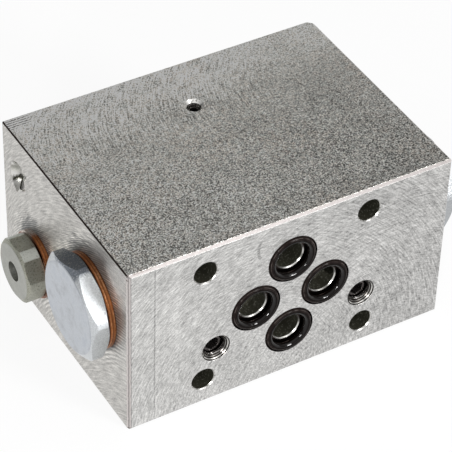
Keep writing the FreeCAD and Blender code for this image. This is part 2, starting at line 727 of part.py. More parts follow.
def make_relief_spool():
    """Stepped spool that joins the left outer chamber to the left port when pressed open."""
    body = new_body("relief_spool")
    seal_end = "(spool_seal_start + spool_seal_long)"
    small = "(relief_small / 2 - guide_gap)"
    large = "(relief_large / 2 - guide_gap)"
    turn_solid(body, "spool", [
        ("relief_end + spring_gap", "0"),
        ("relief_end + spring_gap", "spool_pin / 2"),
        ("spool_seal_start", "spool_pin / 2"),
        ("spool_seal_start", small),
        (seal_end, small),
        (seal_end, "spool_waist / 2"),
        ("spool_guide_start", "spool_waist / 2"),
        ("spool_guide_start", large),
        ("spool_end", large),
        ("spool_end", "spool_bore / 2"),
        ("spool_bore_start", "spool_bore / 2"),
        ("spool_bore_start", "0"),
    ])
    place(body, "0", "relief_y", "relief_z", SIDES["left"])


def make_relief_plug():
    """Small screw plug over the relief spring, with flats milled on round bar."""
    body = new_body("relief_plug")
    inner = "(spool_end + spool_lift + spool_spare)"
    shank = "(relief_core / 2 - screw_gap)"
    face = "block_long / 2 + washer_thick + relief_plug_head"
    eye_end = f"{face} - relief_plug_eye_deep"
    turn_solid(body, "relief_plug_blank", [
        (inner, "spool_bore / 2"),
        (inner, f"{shank} - plug_lead"),
        (f"{inner} + plug_lead", shank),
        ("block_long / 2 + washer_thick", shank),
        *plug_head_profile("relief_plug_base", "relief_plug_round", "relief_plug_face",
                           "relief_plug_head"),
        (face, "relief_plug_eye / 2"),
        (eye_end, "relief_plug_eye / 2"),
        (f"{eye_end} - {drill_tip('relief_plug_eye')}", "0"),
        ("relief_well_end", "0"),
        ("relief_well_end", "spool_bore / 2"),
    ])
    mill_flats(body, "relief_plug_flats_cut", "relief_plug_flats", "(180 - relief_plug_turn)",
               "relief_plug_round", "relief_plug_head")
    place(body, "0", "relief_y", "relief_z", SIDES["left"])


def make_set_screw(label, core, length, socket, socket_deep):
    """Headless screw along X, its socketed end at 0 and its far end at +X."""
    body = new_body(label)
    outer = f"({core} / 2 - screw_gap)"
    turn_solid(body, f"{label}_rod", [
        ("0", "0"),
        ("0", f"{outer} - screw_break"),
        ("screw_break", outer),
        (f"{length} - screw_break", outer),
        (length, f"{outer} - screw_break"),
        (length, "0"),
    ])
    sketch = new_sketch(body, f"{label}_socket_sketch", "YZ_Plane")
    add_outline(sketch, hexagon(socket, "socket_turn"))
    pocket(body, f"{label}_socket", sketch, socket_deep, backwards=True)
    return body


def make_set_screws():
    """The screws that close the control drillings, the top tapping and the left tapping."""
    for name, sign in (("left", "-"), ("right", "")):
        screw = make_set_screw(f"control_screw_{name}", "m6_core", "m6_screw_long",
                               "m6_socket", "m6_socket_deep")
        place(screw, f"{sign}control_x", "m6_screw_sunk", "-control_z", 90.0)
    screw = make_set_screw("top_screw", "m4_core", "m4_screw_long", "m4_socket", "m4_socket_deep")
    sunk = f"({top_tap_deep()} - m4_screw_long - top_screw_spare)"
    place(screw, "0", "top_tap_y", f"block_tall / 2 - {sunk}", 90.0, (0, 1, 0))
    screw = make_set_screw("side_screw", "m4_core", "m4_screw_long", "m4_socket",
                           "m4_socket_deep")
    at, (axis, angle) = side_tap_frame()
    inward = ("cos(side_tap_tilt * 1deg)",
              "-sin(side_tap_tilt * 1deg) * cos(side_tap_lean * 1deg)",
              "-sin(side_tap_tilt * 1deg) * sin(side_tap_lean * 1deg)")
    spot = [f"{start} + side_screw_sunk * {step}" for start, step in zip(at, inward)]
    screw.setExpression("Placement", bound(
        f"placement(vector({spot[0]}; {spot[1]}; {spot[2]});"
        f" rotation(vector({axis[0]}; {axis[1]}; {axis[2]}); {angle}))"))


def check_document():
    """Stop if any object failed or any piece isn't one whole valid solid."""
    doc.recompute()
    failed = [item.Label for item in doc.Objects if {"Invalid", "Error"} & set(item.State)]
    if failed:
        raise RuntimeError(f"failed objects: {failed}")
    for label, item in NODES.items():
        shape = item.Shape
        if shape.isNull() or not shape.isValid() or len(shape.Solids) != 1:
            raise RuntimeError(f"{label} isn't one valid solid")


def check_springs():
    """Compare each spring with its wire's section times its length."""
    for name in ("check_spring_left", "check_spring_right", "relief_spring"):
        wire = NODES[name].Sections[0].Circumradius.Value
        path = NODES[name].Spine[0].Shape.Length
        expected = 2 * math.sqrt(2) * wire ** 2 * path
        if abs(NODES[name].Shape.Volume / expected - 1) > 0.03:
            raise RuntimeError(f"{name} has the wrong volume")


make_block()
make_ring("port_oring_top", "0", "port_outer_z")
make_ring("port_oring_bottom", "0", "-port_outer_z")
make_ring("port_oring_left", "-port_left_x", "0")
make_ring("port_oring_right", "port_right_x", "0")
make_pilot_piston()
for end_name in SIDES:
    make_end_plug(end_name)
    make_washer(f"plug_washer_{end_name}", end_name, "bore_y", "bore_z",
                "plug_washer_out", "plug_washer_in")
    make_seat_bush(end_name)
    make_check_poppet(end_name)
    make_check_spring(end_name)
make_relief_spool()
make_relief_plug()
make_washer("relief_washer", "left", "relief_y", "relief_z",
            "relief_washer_out", "relief_washer_in")
make_spring("relief_spring", "left", "relief_y", "relief_z", "spool_bore_start",
            "relief_well_end", "relief_wire", "relief_coil", "relief_turns")
make_set_screws()
check_document()
check_springs()

os.makedirs("parts", exist_ok=True)
for node_name, node in NODES.items():
    node.Shape.exportStep(f"parts/{node_name}.step")
    print(f"{node_name}: {node.Shape.Volume:.1f} mm3")
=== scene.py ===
"""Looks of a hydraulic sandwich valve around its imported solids.

The block is milled steel with a different finish on each face, and all its passages are oily.
Zinc plated and raw steel screw plugs sit on copper washers, O-rings lie wet in their
counterbores, and thread turns show in the tapped holes.

Every pattern is worked out in millimetres of the part's own frame: the origin is the centre of
the port pattern, +X runs along the port face, +Y into the block and +Z up. The bores along X
are given as their y and z, and the block by half of each of its sizes.
"""
import json
import logging
import math
from collections.abc import Callable, Iterator
from dataclasses import dataclass, field
from enum import Enum
from functools import reduce
from typing import Union

import bpy
import numpy as np
from mathutils import Matrix, Vector


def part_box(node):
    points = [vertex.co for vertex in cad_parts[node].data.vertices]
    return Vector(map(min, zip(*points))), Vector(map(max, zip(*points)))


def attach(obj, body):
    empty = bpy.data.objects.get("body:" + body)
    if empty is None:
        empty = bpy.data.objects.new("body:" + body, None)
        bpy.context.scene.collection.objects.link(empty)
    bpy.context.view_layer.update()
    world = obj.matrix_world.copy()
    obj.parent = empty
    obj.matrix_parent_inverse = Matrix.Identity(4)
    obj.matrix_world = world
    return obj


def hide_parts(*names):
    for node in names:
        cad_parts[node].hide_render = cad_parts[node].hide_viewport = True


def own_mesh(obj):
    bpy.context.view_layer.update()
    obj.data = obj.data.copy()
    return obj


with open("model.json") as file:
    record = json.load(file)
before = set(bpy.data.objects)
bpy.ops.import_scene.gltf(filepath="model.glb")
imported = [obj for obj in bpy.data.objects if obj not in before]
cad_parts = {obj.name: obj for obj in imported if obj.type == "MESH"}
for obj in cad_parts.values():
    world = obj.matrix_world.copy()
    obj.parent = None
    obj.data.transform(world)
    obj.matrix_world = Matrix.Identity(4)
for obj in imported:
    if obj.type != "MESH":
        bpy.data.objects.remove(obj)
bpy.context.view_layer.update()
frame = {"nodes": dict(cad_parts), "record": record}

MM = 0.001
MAIN_BORE = (16.0, 3.5)
RELIEF_BORE = (42.0, -6.5)
HALF_LONG, HALF_DEEP, HALF_TALL = 40.0, 29.25, 22.25
LOG = logging.getLogger("valve")
Material = bpy.types.Material
Value = Union[float, "Amount"]
Pair = tuple[float, float]
Triple = tuple[float, float, float]


class Face(Enum):
    """The block's outer faces, as an axis index and the sign of the outward normal."""

    PORT = (1, -1)
    BACK = (1, 1)
    LEFT = (0, -1)
    RIGHT = (0, 1)
    TOP = (2, 1)
    BOTTOM = (2, -1)


def grey(level: float, warm: float = 0.0) -> Triple:
    """A linear grey, warmer than neutral where warm is above 0."""
    return (level * (1.0 + warm), level, level * (1.0 - warm))


def step(operation: str) -> Callable[..., "Amount"]:
    """Method that puts an amount, and whatever else it is given, into one Math node."""
    return lambda amount, *others: amount.tree.math(operation, amount, *others)


class Amount:
    """A number that varies over a surface. Arithmetic on it adds Math nodes to its tree.

    Of the number and a level, at_least gives the higher one and at_most the lower one.
    """

    def __init__(self, tree: "Tree", socket: bpy.types.NodeSocket) -> None:
        """Hold the output socket that gives the number."""
        self.tree, self.socket = tree, socket

    __add__ = __radd__ = step("ADD")
    __mul__ = __rmul__ = step("MULTIPLY")
    __sub__, __abs__, root = step("SUBTRACT"), step("ABSOLUTE"), step("SQRT")
    at_least, at_most = step("MAXIMUM"), step("MINIMUM")

    def __rsub__(self, other: float) -> "Amount":
        """Difference from a plain number."""
        return self.tree.math("SUBTRACT", other, self)

    def __truediv__(self, other: Value) -> "Amount":
        """Quotient."""
        if isinstance(other, Amount):
            return self.tree.math("DIVIDE", self, other)
        return self * (1.0 / other)

    def wave(self, period: float) -> "Amount":
        """Sine over a period."""
        return self.tree.math("SINE", self * (2.0 * math.pi / period))

    def map(self, *ends: Value, **settings: str | bool) -> "Amount":
        """Map of the first two ends on to the last two."""
        names = ("Value", "From Min", "From Max", "To Min", "To Max")
        return self.tree.make("MapRange", dict(zip(names, (self, *ends))), "Result", **settings)

    def centred(self, low: float, high: float) -> "Amount":
        """Straight, unclamped map of low to high on to -1 to 1."""
        return self.map(low, high, -1.0, 1.0, clamp=False)

    def ramp(self, low: float, high: float, start: Value = 0.0, end: Value = 1.0) -> "Amount":
        """Smooth step from start at low to end at high."""
        return self.map(low, high, start, end, interpolation_type="SMOOTHSTEP")

    def fall(self, low: float, high: float) -> "Amount":
        """Smooth step from 1 at low to 0 at high."""
        return self.ramp(low, high, 1.0, 0.0)

    def band(self, low: float, high: float, soft: float) -> "Amount":
        """1 between low and high, with soft shoulders outside."""
        return self.ramp(low - soft, low) * self.fall(high, high + soft)


Inputs = dict[str | int, Value | Triple]


class Tree:
    """Node tree, written as short calls."""

    def __init__(self, owner: bpy.types.ID) -> None:
        """Empty the tree of a material or a world."""
        owner.use_nodes = True
        self.tree = owner.node_tree
        self.tree.nodes.clear()

    def node(self, kind: str, inputs: Inputs | None = None, **settings: str | bool) -> bpy.types.Node:
        """Add a node.

        Args:
            kind: The node's type without ShaderNode.
            inputs: Amounts, numbers or colours by the name or number of the input.
            **settings: The node's own properties.

        Returns:
            The node.
        """
        node = self.tree.nodes.new(f"ShaderNode{kind}")
        for key, value in settings.items():
            setattr(node, key, value)
        for key, value in (inputs or {}).items():
            socket = node.inputs[key]
            if isinstance(value, Amount):
                self.tree.links.new(value.socket, socket)
            elif isinstance(value, tuple) and socket.type == "RGBA":
                socket.default_value = (*value, 1.0)
            else:
                socket.default_value = value
        return node

    def make(self, kind: str, inputs: Inputs | None = None, output: str | int = 0,
             **settings: str | bool) -> Amount:
        """Add a node as node() does, and give its output of that name or number."""
        return Amount(self, self.node(kind, inputs, **settings).outputs[output])

    def math(self, operation: str, *values: Value, clamp: bool = False) -> Amount:
        """One Math node."""
        return self.make("Math", dict(enumerate(values)), operation=operation, use_clamp=clamp)

    def split(self, vector: Amount) -> tuple[Amount, ...]:
        """The three parts of a vector."""
        return tuple(Amount(self, part) for part in self.node("SeparateXYZ", {0: vector}).outputs)

    def distance(self, right: Amount, up: Amount) -> Amount:
        """Length of the plane vector (right, up)."""
        return (right * right + up * up).root()

    def blend(self, factor: Value, first: Value, second: Value) -> Amount:
        """Number mix."""
        return self.make("Mix", {0: factor, 2: first, 3: second})

    def ray(self, kind: str) -> Amount:
        """1 for rays of a kind, and 0 for others."""
        return self.make("LightPath", output=f"Is {kind} Ray")


class Graph(Tree):
    """Tree of one finish, with the point of the surface in millimetres."""

    def __init__(self, name: str) -> None:
        """Start a material."""
        self.material = bpy.data.materials.new(name)
        super().__init__(self.material)
        place = self.make("TexCoord", output="Object")
        self.point = self.make("VectorMath", {0: place, "Scale": 1.0 / MM}, operation="SCALE")
        self.x, self.y, self.z = self.split(self.point)

    def join(self, x: Value, y: Value, z: Value) -> Amount:
        """A vector from three parts."""
        return self.make("CombineXYZ", {0: x, 1: y, 2: z})

    def noise(self, scale: float, detail: float = 2.0, rough: float = 0.5,
              at: Amount | None = None) -> Amount:
        """Noise between about -1 and 1.

        Args:
            scale: How many features go into a millimetre.
            detail: Number of finer layers.
            rough: Share of each finer layer.
            at: Where it is read, which is the point of the surface if nothing is given.

        Returns:
            The noise.
        """
        return self.make("TexNoise", {"Vector": at or self.point, "Scale": scale, "Detail": detail,
                                      "Roughness": rough}, "Fac").centred(0.25, 0.75)

    def cells(self, scale: float) -> Amount:
        """A random number from -1 to 1 in each of many cells 1 / scale millimetres wide."""
        colour = self.make("TexVoronoi", {"Vector": self.point, "Scale": scale}, "Color")
        return self.split(colour)[0].centred(0.0, 1.0)

    def off_axis(self, centre: Pair) -> tuple[Amount, Amount, Amount]:
        """Offsets along Y and Z from an axis that runs along X, and the distance from it."""
        aside, up = self.y - centre[0], self.z - centre[1]
        return aside, up, self.distance(aside, up)

    def arcs(self, along: Amount, across: Amount, radius: float, side: float, pitch: float,
             length: float) -> Amount:
        """Marks of a face mill: streaks on equal arcs that step along the feed.

        The arc coordinate is the feed position plus the height of a circle of the cutter's
        radius above the crossing position. Noise that is fine in it and coarse across gives
        the streaks.

        Args:
            along: Position along the feed.
            across: Position across it, 0 at the cutter's centre line.
            radius: Cutter radius.
            side: 1 or -1, the side of the circle that left the marks.
            pitch: Width of a streak.
            length: Length of a streak.

        Returns:
            Noise between about -1 and 1.
        """
        height = (radius * radius - across * across).at_least(1.0).root()
        arc = along + height * side
        return self.noise(1.0, 1.0, at=self.join(arc / pitch, across / length, side * 7.0))

    def swirl(self, centre: Pair, pitch: float, length: float) -> Amount:
        """Streaks on circles about a centre in the port face's plane.

        The noise runs over the radius and over the angle times a middle radius of 30 mm.

        Args:
            centre: The circles' centre.
            pitch: Width of a streak.
            length: Length of a streak.

        Returns:
            Noise between about -1 and 1.
        """
        right, up = self.x - centre[0], self.z - centre[1]
        around = self.math("ARCTAN2", up, right) * 30.0
        return self.noise(1.0, 1.0, at=self.join(self.distance(right, up) / pitch, around / length, 3.0))

    def mix(self, factor: Value, first: Value | Triple, second: Value | Triple) -> Amount:
        """Colour mix."""
        return self.make("Mix", {0: factor, 6: first, 7: second}, 2, data_type="RGBA")

    def tint(self, colour: Value | Triple, factor: Value) -> Amount:
        """Colour times a number."""
        return self.make("VectorMath", {0: colour, "Scale": factor}, operation="SCALE")

    def bump(self, height: Amount, distance: float) -> Amount:
        """Normal bent by a height of 0 to 1, where 1 stands distance millimetres proud."""
        return self.make("Bump", {"Height": height, "Distance": distance * MM}, "Normal")

    def finish(self, **inputs: Value | Triple) -> Material:
        """Close the tree with one Principled BSDF.

        Args:
            **inputs: What the shader's inputs get, with _ for a space in their names.

        Returns:
            The finished material.
        """
        named = {key.replace("_", " "): value for key, value in inputs.items()}
        self.node("OutputMaterial", {"Surface": self.make("BsdfPrincipled", named, "BSDF")})
        return self.material


@dataclass(frozen=True)
class HolePattern:
    """Where the holes break the block's faces, in millimetres."""

    ports: tuple[Pair, ...] = ((0.0, 10.4), (0.0, -10.4), (-8.8, 0.0), (8.7, 0.0))
    port_radius: float = 3.3
    pocket_radius: float = 6.1
    pocket_depth: float = 1.4
    port_break: float = 0.25
    bolts: tuple[Pair, ...] = ((-21.5, 15.5), (-21.5, -15.5), (19.0, 16.25), (19.0, -16.25))
    bolt_radius: float = 2.75
    controls: tuple[Pair, ...] = ((-18.5, -7.5), (18.5, -7.5))
    control_mouth: float = 3.5
    top_y: float = 43.3
    top_mouth: float = 2.3
    side_mouth: Triple = (-HALF_LONG, 49.7, 10.75)
    side_axis: Triple = (0.85717, -0.42396, -0.29246)
    side_spot: float = 4.6
    side_cone: float = 2.1

    def reach(self, graph: Graph, centres: tuple[Pair, ...]) -> Amount:
        """Distance in the port face's plane to the nearest of the centres."""
        return reduce(Amount.at_most, [graph.distance(graph.x - x, graph.z - z) for x, z in centres])

    def side_frame(self, graph: Graph) -> tuple[Amount, Amount]:
        """Place in the slanting hole.

        Args:
            graph: The finish's tree.

        Returns:
            Depth along the hole's axis, and distance from that axis.
        """
        (x, y, z), (along, inward, upward) = self.side_mouth, self.side_axis
        right, back, up = graph.x - x, graph.y - y, graph.z - z
        depth = right * along + back * inward + up * upward
        square = right * right + back * back + up * up - depth * depth
        return depth, square.at_least(0.0).root()


@dataclass(frozen=True)
class MilledSteel:
    """Bare steel of the block: six milled faces, broken edges and oily passages.

    Lengths are in millimetres. The broken edges are looked for within rim of the ends along X
    and Y, and within rim_up of the top and bottom. A washer is given as the y and z of its
    centre and its radius, and a spot of wear on the port face as its x, its z and its radius.
    """

    name: str = "milled_steel_block"
    holes: HolePattern = HolePattern()
    top: Triple = (0.612, 0.588, 0.546)
    top_warm: Triple = (0.62, 0.578, 0.526)
    top_cool: Triple = (0.58, 0.584, 0.556)
    port: Triple = (0.522, 0.517, 0.506)
    left: Triple = (0.545, 0.532, 0.507)
    plain: Triple = (0.54, 0.53, 0.515)
    edge: Triple = (0.405, 0.377, 0.368)
    edge_loss: Triple = (0.2, 0.172, 0.162)
    # Dark chips, and the painted shade along the top left and bottom front edges.
    chip_and_shade: Triple = (0.075, 0.055, 0.05)
    bore: Triple = (0.04, 0.039, 0.028)
    bore_flake: Triple = (0.26, 0.26, 0.22)
    pocket: Triple = (0.04, 0.029, 0.026)
    pocket_rim: Triple = (0.42, 0.37, 0.35)
    port_lip: Triple = (0.62, 0.61, 0.59)
    bolt_lip: Triple = (0.5, 0.49, 0.47)
    cone: Triple = (0.02, 0.016, 0.014)
    cone_highlight: Triple = (0.66, 0.65, 0.62)
    # Colour of oil on the left end, also used for the plugs' painted shade round the washers.
    oil: Triple = (0.135, 0.146, 0.146)
    bright: Triple = (0.88, 0.87, 0.84)
    bore_roughness: float = 0.28
    top_roughness: float = 0.48
    face_roughness: float = 0.42
    relief: float = 0.012
    skin: float = 0.03
    rim: float = 1.95
    rim_up: float = 0.75
    blur: float = 0.05
    front_width: float = 0.6
    upright_width: float = 0.85
    washers: tuple[Triple, ...] = ((*MAIN_BORE, 11.0), (*RELIEF_BORE, 8.0))
    spots: tuple[Triple, ...] = ((-26.0, 6.0, 0.5), (-34.5, -3.0, 0.45), (17.5, 6.5, 0.4),
                                 (12.0, 13.0, 0.45), (34.5, 5.5, 0.4), (28.0, -12.0, 0.6),
                                 (-13.8, 16.0, 0.25), (-15.0, -18.5, 0.4))

    def masks(self, graph: Graph) -> dict[Face, Amount]:
        """Where each outer face is.

        Args:
            graph: The finish's tree.

        Returns:
            For each face, 1 on its own plane and 0 elsewhere.
        """
        ends = {Face.PORT: 0.0, Face.BACK: 2.0 * HALF_DEEP, Face.LEFT: -HALF_LONG,
                Face.RIGHT: HALF_LONG, Face.TOP: HALF_TALL, Face.BOTTOM: -HALF_TALL}
        found = {}
        for face, level in ends.items():
            axis, sign = face.value
            outward = ((graph.x, graph.y, graph.z)[axis] - level) * float(sign)
            found[face] = outward.ramp(-2.0 * self.skin, -self.skin)
        return found

    def top_tone(self, graph: Graph, cloud: Amount) -> tuple[Amount, Amount]:
        """Sandy grain, coarser to the front, over arcs of the cutter at the back left.

        The far left corner has a few close stripes along X.

        Args:
            graph: The finish's tree.
            cloud: Broad noise.

        Returns:
            The brightness, and the grain alone.
        """
        x, y = graph.x, graph.y
        grain = graph.noise(3.0, 1.0)
        near = y.ramp(8.0, 50.0, 1.0, 0.52)
        arcs = graph.arcs(x, y - 34.0, radius=34.0, side=1.0, pitch=0.36, length=3.6)
        zone = x.band(-35.0, 14.0, 9.0) * y.band(40.0, 56.0, 6.0)
        slope = 1.0 + (y - 29.0) * 0.0045 - x * 0.0034 + y.ramp(38.0, 57.0, 0.0, 0.42)
        stripes = y.wave(0.72) * x.ramp(-33.0, -36.0) * y.ramp(54.0, 55.5)
        grit = (grain * near * 0.95 + graph.cells(3.9) * near * 0.74 + cloud * 0.15
                + arcs * zone * 0.5 + stripes * 0.9)
        return slope * (1.04 + grit).at_least(0.18), grain

    def port_tone(self, graph: Graph, grain: Amount, cloud: Amount) -> tuple[Amount, Amount]:
        """Woven circles of the cutter, upright bands, two scribed lines, spots of wear and painted
        shade.

        Args:
            graph: The finish's tree.
            grain: Fine noise.
            cloud: Broad noise.

        Returns:
            The brightness, and the circles alone.
        """
        x, z = graph.x, graph.z
        circles = (graph.swirl((-11.0, -24.0), 0.36, 2.0) * 0.55
                   + graph.swirl((26.0, -34.0), 0.36, 2.0) * 0.45)
        bands = graph.noise(1.0, 2.0, at=graph.join(x * 0.8, 0.0, z * 0.03))
        left = x.ramp(-30.0, -20.0, 1.0, 0.25)
        scribed = x.band(-33.72, -33.6, 0.12)
        lit = x.band(-33.3, -33.1, 0.15)
        bent = x + 8.3 + (z - 14.0).wave(9.0) * 0.45
        marks = bent.band(-0.22, 0.22, 0.35) * z.band(14.4, 18.2, 0.8)
        for right, up, size in self.spots:
            away = graph.distance(x - right, z - up)
            marks = marks.at_least(away.ramp(0.4 * size, size, 0.8, 0.0))
        # Painted shade: the tone falls off towards the right (- x * 0.003), and more at the lower right
        # corner.
        corner = (x - z * 0.8).ramp(44.0, 56.0, 0.0, -0.08)
        tone = (0.965 - x * 0.003 + circles * 0.52 + bands * left * 0.09 + grain * 0.12
                + graph.cells(3.6) * 0.17 + cloud * 0.15 - scribed * 0.32 + lit * 0.08
                - marks * 0.36 + corner)
        return tone.at_least(0.3), circles

    def left_tone(self, graph: Graph, fine: Amount, cloud: Amount) -> tuple[Amount, Amount, Amount]:
        """Slanting cutter marks, a painted highlight band by the large washer, and oil with painted
        shade round both washers.

        Args:
            graph: The finish's tree.
            fine: Fine noise.
            cloud: Broad noise.

        Returns:
            The brightness, the cutter marks alone, and 1 where the oil and painted shade cover them.
        """
        y, z = graph.y, graph.z
        marks = graph.arcs(y * 0.62 + z * 0.78, z * 0.62 - y * 0.78 + 22.0, radius=62.0, side=-1.0,
                           pitch=0.4, length=3.6)
        aside = (y - 16.0) * 0.715 + (z - 3.5) * 0.7 + marks * 0.5
        # Painted highlight: a lighter band beside the large washer.
        highlight_band = aside.band(12.3, 14.0, 1.6) * z.ramp(-4.0, 3.0)
        tone = 1.0 + marks * 0.3 + fine * 0.22 + cloud * 0.08 + highlight_band * (0.12 + marks * 0.25)
        # Oil stains and the plugs' painted shade darken the face round both washers.
        dry_and_unshaded = reduce(Amount.__mul__, [self.oil_and_shade_ring(graph, washer, marks) for washer in self.washers])
        return tone * dry_and_unshaded, marks, dry_and_unshaded.fall(0.3, 0.95)

    def oil_and_shade_ring(self, graph: Graph, washer: Triple, marks: Amount) -> Amount:
        """Dark oil crept from under a washer and along the cutter marks, with the plug's painted shade.

        It is darkest at the rim, and reaches further on the side that the marks point to. The painted
        shade stands for the plug's dark reflection in the face.

        Args:
            graph: The finish's tree.
            washer: The washer's centre and radius.
            marks: The cutter marks of the left end.

        Returns:
            The brightness that is left, 1 where there is neither oil nor painted shade.
        """
        right, up, away = graph.off_axis(washer[:2])
        size = washer[2]
        aim = (up * 0.97 - right * 0.25) / away
        past = (away - size) / aim.ramp(-0.2, 0.9, 1.0, 4.6)
        # Oil stain and painted shade, darkest at the washer's rim.
        wet = (past + marks * 0.2).ramp(0.0, 1.0, 0.8, 0.0)
        bent = right * 0.62 + up * 0.78 + away * 0.35 + marks * 0.06
        ripple = bent.wave(0.66) * away.ramp(size + 1.0, size + 7.0, 0.3, 0.0)
        return 1.0 - wet + ripple

    def front_edge(self, graph: Graph, speck: Amount) -> Amount:
        """Colour of the broken edge between top and port face.

        The place across the edge runs from -1 at the port face to 1 at the top. The upper
        border is ragged, and the left end is chipped.

        Args:
            graph: The finish's tree.
            speck: Speckled noise.

        Returns:
            The colour.
        """
        x = graph.x
        ragged = (graph.y + graph.z - HALF_TALL) / self.front_width + speck * 0.35
        pitted = speck.ramp(0.35, 0.65) * x.ramp(-8.0, 8.0, 0.0, 0.75)
        corner = x.ramp(-33.8, -34.6) * ragged.ramp(-0.1, 0.4)
        loss = (ragged.ramp(0.55, 0.95) * 0.6).at_least(pitted).at_least(corner * speck.ramp(-0.5, 0.3))
        tone = x.ramp(-HALF_LONG, HALF_LONG, 0.8, 0.64) + speck * 0.1
        return graph.mix(loss, graph.tint(self.edge, tone), self.edge_loss)

    def upright_edge(self, graph: Graph, speck: Amount) -> Amount:
        """Colour of the broken edge between left end and port face.

        The place across runs from -1 at the left end to 1 at the port face. Two painted
        highlight lines run along it, wavering, with dark nicks near the top.

        Args:
            graph: The finish's tree.
            speck: Speckled noise.

        Returns:
            The colour.
        """
        z = graph.z
        waver = graph.noise(1.0, 2.0, at=graph.join(0.0, 0.0, z * 0.7))
        place = (graph.x + HALF_LONG - graph.y) / self.upright_width + waver * 0.12
        # Painted highlights: two lighter lines along the edge.
        lines = place.band(-0.75, -0.5, 0.18) + place.band(0.3, 0.52, 0.18)
        tone = 0.85 - place.band(0.8, 1.1, 0.12) * 0.35 + lines * 0.75 + speck * 0.15
        nicks = z.ramp(14.0, 19.5) * graph.noise(0.9, 2.0).ramp(0.15, 0.45)
        return graph.mix(nicks * z.ramp(16.5, 17.5, 0.4, 1.0), graph.tint(self.edge, tone), self.chip_and_shade)

    def outer_edges(self, graph: Graph) -> Amount:
        """Where the broken outer edges are, which lie near two faces at once.

        Args:
            graph: The finish's tree.

        Returns:
            1 on the edges and 0 elsewhere.
        """
        near_x, near_y, near_z = (
            abs(part).ramp(half - rim, half - rim + self.blur)
            for part, half, rim in ((graph.x, HALF_LONG, self.rim),
                                    (graph.y - HALF_DEEP, HALF_DEEP, self.rim),
                                    (graph.z, HALF_TALL, self.rim_up)))
        return (near_x * near_y + near_x * near_z + near_y * near_z).at_most(1.0)

    def inside(self, graph: Graph, speck: Amount) -> tuple[Amount, Amount]:
        """Colour of every wall that isn't an outer face or edge, with painted light in the tapped holes.

        Args:
            graph: The finish's tree.
            speck: Speckled noise.

        Returns:
            The colour, and 1 on the plain bores, which oil covers.
        """
        holes, x, y, z = self.holes, graph.x, graph.y, graph.z
        flakes = graph.noise(2.4, 2.0, 0.6).ramp(0.3, 0.6)
        colour = graph.mix(flakes * 0.55, self.bore, self.bore_flake)

        port, radius, floor = holes.reach(graph, holes.ports), holes.pocket_radius, holes.pocket_depth
        pocket = port.fall(radius + 0.2, radius + 0.3) * y.fall(floor + 0.01, floor + 0.03)
        turned = port.ramp(radius - 0.05, radius - 0.02) * y.wave(0.55).ramp(0.3, 0.9)
        oiled = graph.mix(turned * 0.55, self.pocket, self.pocket_rim)
        colour = graph.mix(pocket, colour, graph.tint(oiled, 1.0 + speck * 0.4))
        bevel, radius = holes.port_break, holes.port_radius
        lip = (port.band(radius + 0.015, radius + bevel + 0.01, 0.01)
               * y.band(floor, floor + bevel, 0.01))
        worn = graph.noise(0.5, 1.0).ramp(-0.7, 0.3, 0.25, 0.9)
        colour = graph.mix(lip * worn, colour, self.port_lip)

        bolt, radius, half = holes.reach(graph, holes.bolts), holes.bolt_radius, HALF_DEEP
        mouth = (abs(y - half).ramp(half - 0.27, half - 0.25) * bolt.fall(radius + 0.4, radius + 0.5))
        colour = graph.mix(mouth * speck.ramp(0.1, 0.5, 1.0, 0.25), colour, self.bolt_lip)

        control, radius = holes.reach(graph, holes.controls), holes.control_mouth
        cone = y.fall(3.0, 4.0) * control.fall(radius + 0.1, radius + 0.2)
        # Painted highlights: two bright rings in each control hole's mouth, broken up by noise, over the
        # dark oily cone.
        rings = control.band(3.1, 3.22, 0.06) + control.band(2.74, 2.82, 0.06) * 0.35
        broken_highlight = graph.noise(0.6, 1.0).ramp(-0.8, 0.0, 0.35, 1.0)
        oil = graph.mix(rings * broken_highlight * 0.9, graph.tint(self.cone, 1.0 + speck * 0.5),
                        self.cone_highlight)
        colour = graph.mix(cone, colour, oil)

        # Painted light: the top tapped hole's wall is bright from the mouth down to about 1.5 mm.
        reach, radius = graph.distance(x, y - holes.top_y), holes.top_mouth
        top = (reach.fall(radius + 0.1, radius + 0.2)
               * z.ramp(HALF_TALL - 1.75, HALF_TALL - 1.15))
        colour = graph.mix(top * speck.ramp(0.15, 0.5, 1.0, 0.25), colour, self.bright)

        # Painted light on the slanting hole: its spot face floor is bright where lit and along thread
        # lines, and its threads near the mouth are bright.
        depth, reach = holes.side_frame(graph)
        near = reach.fall(holes.side_spot + 0.2, holes.side_spot + 0.3) * x.fall(-30.0, -29.0)
        rise = (y - holes.side_mouth[1]) * 0.606 + (z - holes.side_mouth[2]) * 0.795
        lit = (rise + speck * 0.5).ramp(1.3, 2.0)
        cut = reach.wave(0.62).ramp(-0.1, 0.5) * rise.ramp(0.2, 1.2, 0.9, 0.0)
        spot = reach.ramp(holes.side_cone, holes.side_cone + 0.1) * depth.fall(0.34, 0.4)
        lit_threads = reach.fall(1.75, 1.85) * depth.ramp(1.6, 2.6, 0.45, 0.0)
        shade = lit_threads.at_least(spot * lit.at_least(cut) * 0.8)
        colour = graph.mix(near * shade, colour, self.bright)
        return colour, (pocket + lip + mouth + cone + top + near).fall(0.0, 1.0)

    def build(self) -> Material:
        """Make the material.

        Returns:
            The material of the whole block.
        """
        graph = Graph(self.name)
        on = self.masks(graph)
        outer = reduce(Amount.__add__, on.values()).at_most(1.0)
        grain = graph.noise(3.2, 1.0, 0.6)
        speck = graph.noise(1.7, 3.0, 0.7)
        cloud = graph.noise(0.09, 3.0, 0.6)

